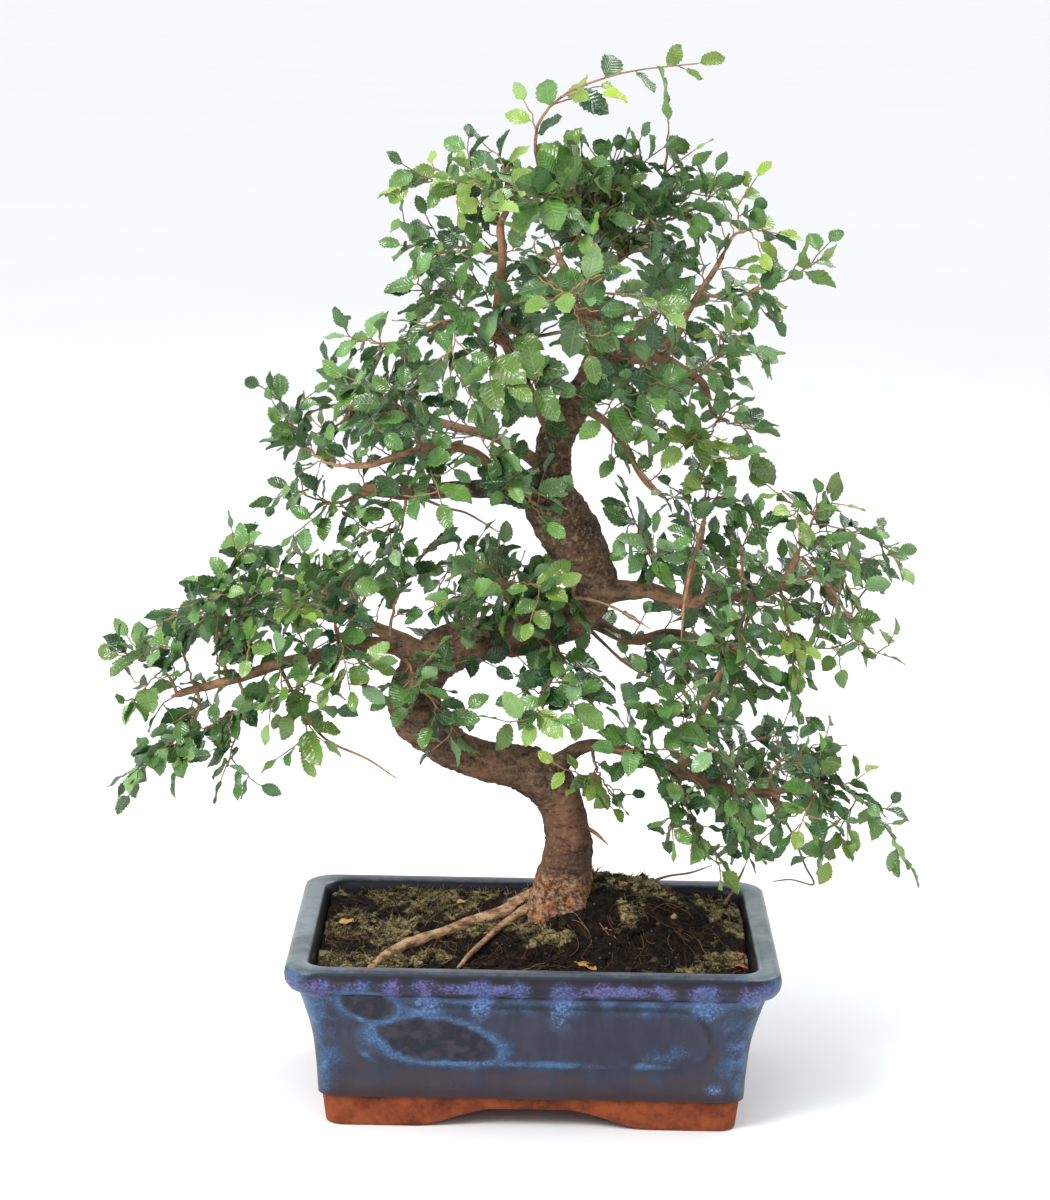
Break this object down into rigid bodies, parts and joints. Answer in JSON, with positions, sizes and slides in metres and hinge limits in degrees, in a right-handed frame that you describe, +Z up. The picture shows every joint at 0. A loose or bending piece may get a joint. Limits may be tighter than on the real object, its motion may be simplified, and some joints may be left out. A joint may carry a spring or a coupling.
{
  "type": "chinese elm bonsai in pot",
  "caption": "Chinese elm bonsai with an S-shaped trunk, spreading branches and small toothed leaves, in a rectangular blue glazed pot on terracotta feet.",
  "frame": {"origin": "bottom middle of the whole object's box, on the plane that the pot's feet stand on", "axes": "+Z up, +X along the pot's long side to the right as seen in the picture, -Y towards the viewer"},
  "size_m": [0.3602, 0.1828, 0.4532],
  "materials": {
    "glazed_clay": "deep blue gloss glaze with violet and turquoise mottling over an unglazed terracotta foot",
    "soil": "dark matt potting soil with patches of moss",
    "drain_mesh": "matt black mesh",
    "bark": "rough grey-brown bark",
    "leaf": "semi-gloss green leaves on brown twigs"
  },
  "bodies": {
    "root": {"crown_back_right_spray_1": "leaf", "crown_back_spray_1": "leaf", "crown_front_spray_1": "leaf", "crown_left_arch_spray_1": "leaf", "crown_left_arch_spray_2": "leaf", "crown_left_spray_1": "leaf", "crown_left_spray_2": "leaf", "crown_left_spray_3": "leaf", "crown_right_spray_1": "leaf", "crown_right_spray_2": "leaf", "crown_right_spray_3": "leaf", "crown_right_up_spray_1": "leaf", "crown_right_up_spray_2": "leaf", "crown_top_right_spray_1": "leaf", "crown_top_right_spray_2": "leaf", "crown_top_spray_1": "leaf", "crown_top_spray_2": "leaf", "drain_screen_left": "drain_mesh", "drain_screen_right": "drain_mesh", "left_crown_back_spray_1": "leaf", "left_crown_low_spray_1": "leaf", "left_crown_low_spray_2": "leaf", "left_crown_mid_spray_1": "leaf", "left_crown_mid_spray_2": "leaf", "left_low_back_spray_1": "leaf", "left_low_back_spray_2": "leaf", "left_low_spray_1": "leaf", "left_low_spray_2": "leaf", "left_low_spray_3": "leaf", "left_low_spray_4": "leaf", "left_low_spray_5": "leaf", "left_low_spray_6": "leaf", "left_low_spray_7": "leaf", "left_low_spray_8": "leaf", "middle_back_spray_1": "leaf", "pot": "glazed_clay", "right_back_spray_1": "leaf", "right_low_spray_1": "leaf", "right_low_spray_2": "leaf", "right_low_spray_3": "leaf", "right_low_spray_4": "leaf", "right_low_spray_5": "leaf", "right_low_spray_6": "leaf", "right_low_spray_7": "leaf", "right_low_up_spray_1": "leaf", "right_low_up_spray_2": "leaf", "right_mid_end_spray_1": "leaf", "right_mid_end_spray_2": "leaf", "right_mid_end_spray_3": "leaf", "right_mid_spray_1": "leaf", "right_mid_spray_2": "leaf", "right_mid_spray_3": "leaf", "right_mid_spray_4": "leaf", "right_stub_spray_1": "leaf", "soil": "soil", "trunk_spray_1": "leaf", "trunk_spray_2": "leaf", "trunk_spray_3": "leaf", "wood": "bark"}
  },
  "joints": []
}
